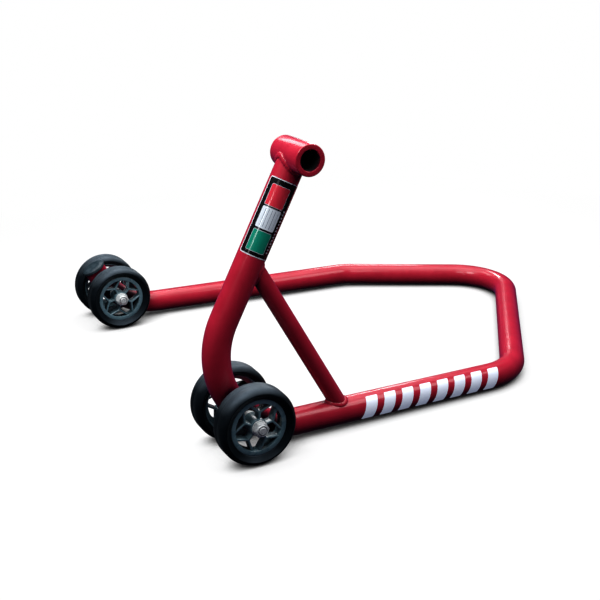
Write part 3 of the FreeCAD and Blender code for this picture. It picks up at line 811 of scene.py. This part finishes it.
def tyre_profile():
    """Section of the tyre as (radius, height): a lip and a sloping wall at the face, rounded
    shoulders, a crown with its parting line, and a sloping wall at the back."""
    wall, half, lip, edge = TYRE_WALL_RADIUS, TYRE_HALF_WIDTH, TYRE_LIP_EASE, TYRE_EDGE_EASE
    front = [(RIM_BARREL_RADIUS, RIM_FACE_BACK), (RIM_FACE_RADIUS, RIM_FACE_BACK),
             (RIM_FACE_RADIUS, RIM_HALF_WIDTH - 3 * lip), (RIM_FACE_RADIUS + lip, RIM_HALF_WIDTH - lip),
             (RIM_FACE_RADIUS + 4 * lip, RIM_HALF_WIDTH + lip)]
    front_edge = [(wall - 3 * edge, half - 2.5 * edge), (wall - edge, half - 0.5 * edge)]
    lean = math.atan2(WHEEL_RADIUS - wall, half - TYRE_CROWN_HALF_WIDTH)
    shoulder_start = TYRE_CROWN_HALF_WIDTH - TYRE_SHOULDER_RADIUS * math.tan(lean / 2)
    shoulder = []
    for step in range(TYRE_SHOULDER_STEPS + 1):
        angle = lean * (1 - step / TYRE_SHOULDER_STEPS)
        shoulder.append((WHEEL_RADIUS - TYRE_SHOULDER_RADIUS * (1 - math.cos(angle)),
                         shoulder_start + TYRE_SHOULDER_RADIUS * math.sin(angle)))
    crown = [(WHEEL_RADIUS, PARTING_LINE_HALF), (WHEEL_RADIUS - PARTING_LINE_DEPTH, 0.0),
             (WHEEL_RADIUS, -PARTING_LINE_HALF)]
    mirrored = [(radius, -height) for radius, height in reversed(front_edge + shoulder)]
    back = [(RIM_BARREL_RADIUS + lip, -RIM_HALF_WIDTH - 2 * lip), (RIM_BARREL_RADIUS, -RIM_HALF_WIDTH)]
    return front + front_edge + shoulder + crown + mirrored + back


def polar(radius, angle):
    return Vector((radius * math.cos(angle), radius * math.sin(angle)))


def angle_of(point):
    return math.atan2(point.y, point.x)


def arc(radius, start, end, steps):
    """Points along an arc between two angles, without its ends."""
    return [polar(radius, start + (end - start) * index / steps) for index in range(1, steps)]


def meet_circle(point, direction, radius):
    """Where a line from a point inside a circle leaves it."""
    b = point.dot(direction)
    return point + direction * (-b + math.sqrt(b * b - point.dot(point) + radius * radius))


def window_outlines():
    """Outlines of one large window between two spokes and one small window in a spoke's fork."""
    half = SPOKE_HALF
    fork = Vector((FORK_RADIUS, 0))
    arm = polar(1.0, ARM_ANGLE)
    normal = Vector((-arm.y, arm.x))
    ring = RIM_INNER_RADIUS + WINDOW_OVERLAP
    hub = HUB_RADIUS - WINDOW_OVERLAP
    root = Vector((math.sqrt(hub ** 2 - half ** 2), half))
    shoulder = Vector((FORK_RADIUS - half * math.tan(ARM_ANGLE / 2), half))
    outer_end = meet_circle(fork + normal * half, arm, ring)
    crotch = Vector((FORK_RADIUS + half / math.sin(ARM_ANGLE), 0))
    inner_end = meet_circle(fork - normal * half, arm, ring)
    flip = Matrix(((1, 0), (0, -1)))
    next_spoke = Matrix.Rotation(2 * math.pi / SPOKE_COUNT, 2) @ flip

    next_root, next_shoulder, next_outer = (next_spoke @ point for point in (root, shoulder, outer_end))
    large = [root, shoulder, outer_end]
    large += arc(ring, angle_of(outer_end), angle_of(next_outer), LARGE_ARC_STEPS)
    large += [next_outer, next_shoulder, next_root]
    large += arc(hub, angle_of(next_root), angle_of(root), HUB_ARC_STEPS)
    large_radii = [ROOT_ROUND, FORK_ROUND, RING_ROUND] + [0] * (LARGE_ARC_STEPS - 1)
    large_radii += [RING_ROUND, FORK_ROUND, ROOT_ROUND] + [0] * (HUB_ARC_STEPS - 1)

    small = [crotch, inner_end]
    small += arc(ring, angle_of(inner_end), -angle_of(inner_end), SMALL_ARC_STEPS)
    small += [flip @ inner_end]
    small_radii = [ROOT_ROUND, RING_ROUND] + [0] * (SMALL_ARC_STEPS - 1) + [RING_ROUND]
    return (large, large_radii), (small, small_radii)


def evaluated_mesh(holder):
    """The mesh of an object with its modifiers or curve settings worked out."""
    bpy.context.view_layer.update()
    graph = bpy.context.evaluated_depsgraph_get()
    return bpy.data.meshes.new_from_object(holder.evaluated_get(graph))


def web_mesh():
    """The flat spoked web between hub and ring, with rounded window edges."""
    curve = bpy.data.curves.new("web_outline", "CURVE")
    curve.dimensions = "2D"
    curve.fill_mode = "BOTH"
    curve.extrude = ((SPOKE_FRONT - WEB_BACK) / 2 - WEB_EDGE_ROUND) * MM
    curve.bevel_depth = WEB_EDGE_ROUND * MM
    curve.bevel_resolution = 2
    curve.offset = -WEB_EDGE_ROUND * MM

    def add_loop(outline):
        spline = curve.splines.new("POLY")
        spline.points.add(len(outline) - 1)
        spline.use_cyclic_u = True
        for point, place in zip(spline.points, outline):
            point.co = (place[0] * MM, place[1] * MM, 0, 1)

    add_loop([polar(RIM_INNER_RADIUS + WEB_OVERLAP, 2 * math.pi * index / RIM_SEGMENTS)
              for index in range(RIM_SEGMENTS)])
    add_loop([polar(HUB_RADIUS - WEB_OVERLAP, -2 * math.pi * index / 48) for index in range(48)])
    for outline, radii in window_outlines():
        rounded = rounded_profile([tuple(point) for point in outline], radii)
        for spoke in range(SPOKE_COUNT):
            turn = Matrix.Rotation(2 * math.pi * spoke / SPOKE_COUNT, 2)
            add_loop([turn @ Vector(point) for point in rounded])
    holder = linked_object("web_outline", curve)
    mesh = evaluated_mesh(holder)
    bpy.data.objects.remove(holder)
    mesh.transform(Matrix.Translation(Z_AXIS * ((SPOKE_FRONT + WEB_BACK) / 2 * MM)))
    return mesh


def ring_mesh(name, profile):
    """A profile turned round the Z axis into a closed ring."""
    points = lathe_points(profile, ORIGIN, Z_AXIS, RIM_SEGMENTS)
    faces = grid_faces(len(profile), RIM_SEGMENTS, close_rows=True)
    mesh = bpy.data.meshes.new(name)
    mesh.from_pydata([point * MM for point in points], [], faces)
    return mesh


def union_mesh(meshes):
    """One closed mesh from several overlapping ones."""
    holders = []
    for mesh in meshes:
        face_outwards(mesh, doubled=1e-6)
        holders.append(linked_object("union_part", mesh))
    for other in holders[1:]:
        joiner = holders[0].modifiers.new("join", "BOOLEAN")
        joiner.operation = "UNION"
        joiner.solver = "EXACT"
        joiner.object = other
    union = evaluated_mesh(holders[0])
    for holder in holders:
        bpy.data.objects.remove(holder)
    return union


def rim_mesh():
    """Web, hub and ring joined into one solid, lying with its axis along Z."""
    ring = rounded_profile(
        [(RIM_INNER_RADIUS, RIM_RING_BACK), (RIM_BARREL_BORE_RADIUS, RIM_RING_BACK),
         (RIM_BARREL_BORE_RADIUS, -RIM_HALF_WIDTH), (RIM_BARREL_RADIUS, -RIM_HALF_WIDTH),
         (RIM_BARREL_RADIUS, RIM_FACE_BACK), (RIM_FACE_RADIUS, RIM_FACE_BACK),
         (RIM_FACE_RADIUS, RIM_HALF_WIDTH), (RIM_INNER_RADIUS, RIM_HALF_WIDTH)],
        [0.5, 1.5, 0.3, 0.3, 0, 0, 0.7, 0.7], steps=3)
    hub = ring_profile(BUSH_RADIUS, HUB_RADIUS, -RIM_HALF_WIDTH, RIM_HALF_WIDTH,
                       [0.4, 1.0, 1.0, 0.4], steps=3)
    return union_mesh([web_mesh(), ring_mesh("ring", ring), ring_mesh("hub", hub)])


def wheel(name, shared_rim):
    """Tyre and rim of one wheel, laid on its axle with its spokes at their own turn."""
    body = name + "_wheel"
    centre = wheel_centre(name)
    side = WHEEL_SIDES[name]
    lathe(name + "_tyre_rubber", tyre_profile(), centre, Y_AXIS * side, "tyre_rubber", body,
          [name + "_tyre"], segments=128, sharp=50)
    mesh = shared_rim.copy()
    spin = Matrix.Rotation(math.radians(-side * WHEEL_TURNS[name]), 4, "Z")
    lay = Matrix.Rotation(-side * math.pi / 2, 4, "X")
    mesh.transform(Matrix.Translation(centre * MM) @ lay @ spin)
    finish_piece(name + "_rim_spoked", mesh, "slate_plastic", body, [name + "_rim"])


shared_rim = rim_mesh()
for wheel_name in WHEEL_TURNS:
    wheel(wheel_name, shared_rim)

# -------- axle hardware

# Heights along an axle from the middle of the frame tube, the nut's side being negative.
SLEEVE_END = 19.0
BUSH_START = 25.6
BUSH_END = 50.4
WASHER_END = BUSH_END + 1.5
NUT_HEXAGON_END = WASHER_END + 7.0
NUT_END = NUT_HEXAGON_END + 2.0
BOLT_END = NUT_END + 0.6
BOLT_HEAD_END = WASHER_END + 6.4

CLEAR_BORE_RADIUS = 5.25
RING_RADIUS = 10.0
RING_ROUNDS = [0.2, 0.35, 0.35, 0.2]
HEXAGON_HALF_FLATS = 8.5
HEXAGON_SEGMENTS = 96
# The turned-off corners start inside the flats by this share and fall this steeply.
CHAMFER_START_SHARE = 0.97
CHAMFER_SLOPE = 0.58
CHAMFER_STEPS = (0.0, 0.4, 1.0)
COLLAR_RADIUS = 7.4
COLLAR_BORE_RADIUS = 5.9
INSERT_RADIUS = 5.95
INSERT_INSET = 0.5
# How far the collar and the insert sink into the hexagon.
COLLAR_SINK, INSERT_SINK = 0.5, 0.4
BOLT_RADIUS = 5.0
BOLT_POINT_RADIUS, BOLT_SHOULDER_RADIUS = 4.3, 4.9
THREAD_PITCH = 1.25
THREAD_CREST_RADIUS = 4.97
THREAD_ROOT_RADIUS = 4.45


def hexagon_radius(angle):
    """Distance from the middle to the edge of a hexagon in one direction."""
    turned = (angle + math.pi / 6) % (math.pi / 3) - math.pi / 6
    return HEXAGON_HALF_FLATS / math.cos(turned)


def hexagon_solid(name, centre, low, high, bore, replaced):
    """A zinc-plated hexagon along Y with its corners turned off at both ends, and a round bore."""
    corner = HEXAGON_HALF_FLATS / math.cos(math.pi / 6)
    chamfer_start = CHAMFER_START_SHARE * HEXAGON_HALF_FLATS
    chamfer_height = CHAMFER_SLOPE * (corner - HEXAGON_HALF_FLATS)
    chamfer = [(share * chamfer_height, chamfer_start + share * (corner - chamfer_start))
               for share in CHAMFER_STEPS]
    levels = [(low + rise, limit) for rise, limit in chamfer]
    levels += [(high - rise, limit) for rise, limit in reversed(chamfer)]
    first, second = side_vectors(Y_AXIS, Z_AXIS)
    points = ring_points(centre + Y_AXIS * low, first, second, bore, HEXAGON_SEGMENTS)
    for height, limit in levels:
        for step in range(HEXAGON_SEGMENTS):
            angle = 2 * math.pi * step / HEXAGON_SEGMENTS
            side = first * math.cos(angle) + second * math.sin(angle)
            points.append(centre + Y_AXIS * height + side * min(limit, hexagon_radius(angle)))
    points += ring_points(centre + Y_AXIS * high, first, second, bore, HEXAGON_SEGMENTS)
    faces = grid_faces(len(levels) + 2, HEXAGON_SEGMENTS, close_rows=True)
    new_piece(name, points, faces, "zinc", "stand", replaced, sharp=20)


def thread_profile():
    """Section of the bolt's shank: a chamfered end and a thread as far as the nut reaches."""
    profile = [(AXIS_GAP, -BOLT_END), (BOLT_POINT_RADIUS, -BOLT_END),
               (BOLT_SHOULDER_RADIUS, -BOLT_END + 0.6)]
    place = -BOLT_END + 1.0
    while place < -WASHER_END - 0.8:
        profile += [(THREAD_CREST_RADIUS, place + 0.25), (THREAD_CREST_RADIUS, place + 0.45),
                    (THREAD_ROOT_RADIUS, place + 1.0)]
        place += THREAD_PITCH
    profile += [(THREAD_CREST_RADIUS, place + 0.4), (THREAD_CREST_RADIUS, WASHER_END + 0.5),
                (AXIS_GAP, WASHER_END + 0.5)]
    return profile


def axle(name, centre):
    """Zinc-plated bolt, lock nut, washers and spacers of one axle."""
    rings = (("nut_spacer", -BUSH_START, -SLEEVE_END), ("head_spacer", SLEEVE_END, BUSH_START),
             ("nut_washer", -WASHER_END, -BUSH_END), ("head_washer", BUSH_END, WASHER_END))
    for label, low, high in rings:
        node = "%s_%s" % (name, label)
        profile = ring_profile(CLEAR_BORE_RADIUS, RING_RADIUS, low, high, RING_ROUNDS, steps=3)
        lathe(node + "_ring", profile, centre, Y_AXIS, "zinc", "stand", [node], segments=72)
    hexagon_solid(name + "_nut_hexagon", centre, -NUT_HEXAGON_END, -WASHER_END, BOLT_RADIUS,
                  [name + "_lock_nut"])
    collar = ring_profile(COLLAR_BORE_RADIUS, COLLAR_RADIUS, -NUT_END, COLLAR_SINK - NUT_HEXAGON_END,
                          [0.4, 1.0, 0, 0], steps=4)
    lathe(name + "_nut_collar", collar, centre, Y_AXIS, "zinc", "stand", segments=72)
    insert = ring_profile(BOLT_RADIUS, INSERT_RADIUS, INSERT_INSET - NUT_END, INSERT_SINK - NUT_HEXAGON_END,
                          [0.2, 0.2, 0, 0], steps=2)
    lathe(name + "_nut_insert", insert, centre, Y_AXIS, "insert", "stand", segments=48)
    hexagon_solid(name + "_bolt_head", centre, WASHER_END, BOLT_HEAD_END, AXIS_GAP, [name + "_bolt"])
    lathe(name + "_bolt_shank", thread_profile(), centre, Y_AXIS, "zinc", "stand", segments=48, sharp=30)


for axle_name, axle_centre in AXLE_CENTRES.items():
    axle(axle_name, axle_centre)

# -------- stickers

STICKER_THICKNESS = 0.25
STICKER_GAP = 0.02
LABEL_CORNER = 3.0
LABEL_STEPS_ROUND, LABEL_STEPS_UP = 40, 24
BAR_COUNT = 8
BAR_WIDTH = 17.0
BAR_PITCH = 27.5
BAR_SLANT = 9.0
BAR_HALF_HEIGHT = 14.0
BAR_CORNER = 1.5
BAR_STEPS_ROUND, BAR_STEPS_ALONG = 14, 6
BARS_START = 161.0
BARS_TILT = math.radians(10)
CORNER_STEPS = 5


def wrapped_sheet(name, start, axis, first, cells, slot, replaced, uvs=None):
    """A thin sheet on the tube. cells is a grid of (arc length, height) points, row by row."""
    second = axis.cross(first)
    rows, columns = len(cells), len(cells[0])
    points = []
    for radius in (TUBE_RADIUS + STICKER_THICKNESS, TUBE_RADIUS + STICKER_GAP):
        for arc_length, height in joined(cells):
            angle = arc_length / TUBE_RADIUS
            side = first * math.cos(angle) + second * math.sin(angle)
            points.append(start + axis * height + side * radius)
    front = grid_faces(rows, columns, close_columns=False)
    shift = rows * columns
    back = [tuple(index + shift for index in reversed(face)) for face in front]
    rim = [(0, column) for column in range(columns)]
    rim += [(row, columns - 1) for row in range(1, rows)]
    rim += [(rows - 1, column) for column in range(columns - 2, -1, -1)]
    rim += [(row, 0) for row in range(rows - 2, 0, -1)]
    edge = []
    for (row, column), (next_row, next_column) in zip(rim, rim[1:] + rim[:1]):
        here = row * columns + column
        there = next_row * columns + next_column
        edge.append((here, there, there + shift, here + shift))
    new_piece(name, points, front + back + edge, slot, "stand", replaced, sharp=40, uvs=uvs)


def corner_inset(distance, radius):
    """How far a rounded corner pulls in the end of a row at a distance from the edge."""
    if distance >= radius:
        return 0.0
    return radius - math.sqrt(max(0.0, radius ** 2 - (radius - distance) ** 2))


def eased_steps(length, corner, middle_steps):
    """Positions from 0 to a length, closer together where the corners are rounded."""
    ends = [corner * (1 - math.cos(math.pi / 2 * step / CORNER_STEPS)) for step in range(CORNER_STEPS)]
    middle = [corner + (length - 2 * corner) * step / middle_steps for step in range(middle_steps + 1)]
    return ends + middle + [length - place for place in reversed(ends)]


def post_label():
    """The sticker round the front of the post, below the socket."""
    sideways = POST.cross(TOWARD_NEAR)
    first = TOWARD_NEAR * math.cos(LABEL_START) + sideways * math.sin(LABEL_START)
    start = POST * -(LABEL_TOP + LABEL_LENGTH)
    cells = []
    for across in eased_steps(LABEL_WIDTH, LABEL_CORNER, LABEL_STEPS_ROUND):
        inset = corner_inset(min(across, LABEL_WIDTH - across), LABEL_CORNER)
        run = LABEL_LENGTH - 2 * inset
        cells.append([(across, inset + run * step / LABEL_STEPS_UP) for step in range(LABEL_STEPS_UP + 1)])
    wrapped_sheet("label_on_post", start, POST, first, cells, "label_vinyl", ["post_label"],
                  uvs=joined(cells) * 2)


def rail_bars():
    """Slanted bars of cut vinyl on the outside of the near rail."""
    up = TOWARD_NEAR.cross(RAIL)
    outward = TOWARD_NEAR * math.cos(BARS_TILT) + up * math.sin(BARS_TILT)
    arc_half = TUBE_RADIUS * math.asin(BAR_HALF_HEIGHT / TUBE_RADIUS)
    start = NEAR_RAIL + RAIL * (BARS_START / RAIL.x)
    for bar in range(BAR_COUNT):
        cells = []
        for across in eased_steps(2 * arc_half, BAR_CORNER, BAR_STEPS_ROUND):
            inset = corner_inset(min(across, 2 * arc_half - across), BAR_CORNER)
            rise = math.sin((across - arc_half) / TUBE_RADIUS) * TUBE_RADIUS / BAR_HALF_HEIGHT
            left = BAR_SLANT * (rise + 1) / 2 + bar * BAR_PITCH + inset
            run = BAR_WIDTH - 2 * inset
            cells.append([(arc_half - across, left + run * step / BAR_STEPS_ALONG)
                          for step in range(BAR_STEPS_ALONG + 1)])
        replaced = ["rail_graphic"] if bar == 0 else []
        wrapped_sheet("rail_bar_%d" % (bar + 1), start, RAIL, outward, cells, "white_vinyl", replaced)


post_label()
rail_bars()

# -------- floor, light and camera

# These are in metres.
FLOOR_HEIGHT = AXLE_FOOT.z * MM - 0.0002
FLOOR_REACH = 12.0
FLOOR_SHADES = ((0.93, 0.93, 0.93), (0.95, 0.95, 0.95))
# The floor shows its own shading by one fifth up to the first distance, and none past the second.
FLOOR_MIDDLE = (0.22, 0.27, FLOOR_HEIGHT)
FLOOR_FADE = (0.4, 1.1)
FLOOR_GLOW_SHARE = 0.80
LIGHTS_AIM = Vector((0.22, 0.2, -0.2))
# Colours of the dome by height, for soft light and for reflections.
DOME_LIGHT = [(0.45, (0.010, 0.006, 0.035)), (0.55, (0.012, 0.010, 0.040)), (0.95, (0.030, 0.030, 0.050))]
DOME_MIRRORED = [(0.30, (0.012, 0.014, 0.018)), (0.50, (0.010, 0.011, 0.015)), (0.95, (0.06, 0.06, 0.07))]
DOME_SEEN = (1.0, 1.0, 1.0)
CAMERA_PLACE = from_foot(-455.3, -1081.5, 608.3) * MM
CAMERA_AZIMUTH = math.radians(26.44)
CAMERA_TILT = math.radians(19.47)
CAMERA_ROLL = math.radians(-1.19)
# Lens and sensor width are in millimetres, as on a real camera.
CAMERA_LENS = 62.98
CAMERA_SENSOR = 36
CAMERA_CLIP_END = 50


def floor():
    """A pale floor that fades into the white background, with a faint shade where things touch."""
    mesh = bpy.data.meshes.new("floor")
    signs = ((-1, -1), (1, -1), (1, 1), (-1, 1))
    corners = [(x * FLOOR_REACH, y * FLOOR_REACH, FLOOR_HEIGHT) for x, y in signs]
    mesh.from_pydata(corners, [], [(0, 1, 2, 3)])
    material, tree, shader = new_material("pale_floor")
    cloud = noise(tree, scale=3, detail=2)
    set_inputs(tree, shader, Base_Color=noise_colour(tree, cloud, FLOOR_SHADES), Roughness=0.9,
               Specular_IOR_Level=0.1)
    glow = tree.nodes.new("ShaderNodeEmission")
    set_inputs(tree, glow, Strength=in_the_open(tree, reach=0.05, closed=0.22, clear=0.64))
    place = tree.nodes.new("ShaderNodeTexCoord")
    distance = tree.nodes.new("ShaderNodeVectorMath")
    distance.operation = "DISTANCE"
    feed(tree, distance.inputs[0], place.outputs["Object"])
    feed(tree, distance.inputs[1], FLOOR_MIDDLE)
    share = value_ramp(tree, distance.outputs["Value"], *FLOOR_FADE, FLOOR_GLOW_SHARE, 1.0)
    mixer = tree.nodes.new("ShaderNodeMixShader")
    for socket, source in zip(mixer.inputs, (share, shader.outputs["BSDF"], glow.outputs["Emission"])):
        feed(tree, socket, source)
    set_inputs(tree, tree.nodes["Material Output"], Surface=mixer.outputs["Shader"])
    mesh.materials.append(material)
    plane = linked_object("floor", mesh)
    plane.visible_glossy = False
    plane.visible_diffuse = False
    plane.visible_shadow = False


def softbox(name, height, around, power, side, far=1.3):
    """A square light at an angle above the floor and round from +X, aimed at the stand. The side
    and the distance are in metres, the power in watts."""
    light = bpy.data.lights.new(name, "AREA")
    light.shape = "SQUARE"
    light.size = side
    light.energy = power
    rise, turn = math.radians(height), math.radians(around)
    toward = Vector((math.cos(rise) * math.cos(turn), math.cos(rise) * math.sin(turn), math.sin(rise)))
    lamp = linked_object(name, light)
    lamp.location = LIGHTS_AIM + toward * far
    lamp.rotation_euler = (-toward).to_track_quat("-Z", "Y").to_euler()


def studio_world():
    """White behind the object, and a dim grey dome, darker underneath, for everything else."""
    world = bpy.data.worlds.new("studio")
    world.use_nodes = True
    bpy.context.scene.world = world
    tree = world.node_tree
    tree.nodes.clear()
    place = tree.nodes.new("ShaderNodeTexCoord")
    height = value_ramp(tree, axes_of(tree, place.outputs["Generated"])[2], -1, 1, 0, 1)
    path = tree.nodes.new("ShaderNodeLightPath")
    colour = mix_colours(tree, path.outputs["Is Glossy Ray"], ramp(tree, height, DOME_LIGHT),
                         ramp(tree, height, DOME_MIRRORED))
    colour = mix_colours(tree, path.outputs["Is Camera Ray"], colour, DOME_SEEN)
    background = tree.nodes.new("ShaderNodeBackground")
    set_inputs(tree, background, Color=colour)
    output = tree.nodes.new("ShaderNodeOutputWorld")
    set_inputs(tree, output, Surface=background.outputs["Background"])


def camera():
    """Looks down on the stand from in front of its near side."""
    flat_forward = Vector((math.sin(CAMERA_AZIMUTH), math.cos(CAMERA_AZIMUTH), 0))
    forward = flat_forward * math.cos(CAMERA_TILT) - Z_AXIS * math.sin(CAMERA_TILT)
    level = flat_forward.cross(Z_AXIS)
    above = level.cross(forward)
    right = level * math.cos(CAMERA_ROLL) + above * math.sin(CAMERA_ROLL)
    up = above * math.cos(CAMERA_ROLL) - level * math.sin(CAMERA_ROLL)
    data = bpy.data.cameras.new("camera")
    data.lens = CAMERA_LENS
    data.sensor_width = CAMERA_SENSOR
    data.clip_end = CAMERA_CLIP_END
    eye = linked_object("camera", data)
    turn = Matrix((right, up, -forward)).transposed().to_4x4()
    eye.matrix_world = Matrix.Translation(CAMERA_PLACE) @ turn
    bpy.context.scene.camera = eye


floor()
studio_world()
softbox("top", height=90, around=0, power=9.5, side=1.4)
softbox("top_back", height=75, around=110, power=7.4, side=1.1)
softbox("left", height=50, around=180, power=9.0, side=0.5)
softbox("front_left", height=50, around=225, power=4.0, side=0.5)
softbox("back_right", height=55, around=42, power=3.0, side=0.9)
softbox("low_back_right", height=22, around=58, power=2.4, side=0.22)
softbox("back", height=42, around=90, power=2.6, side=0.4)
softbox("front_right", height=48, around=308, power=5.4, side=0.6)
softbox("streak", height=21.2, around=213, power=0.5, side=0.12, far=1.38)
camera()
scene = bpy.context.scene
scene.view_settings.view_transform = "Standard"
scene.view_settings.look = "None"
scene.view_settings.gamma = 0.8
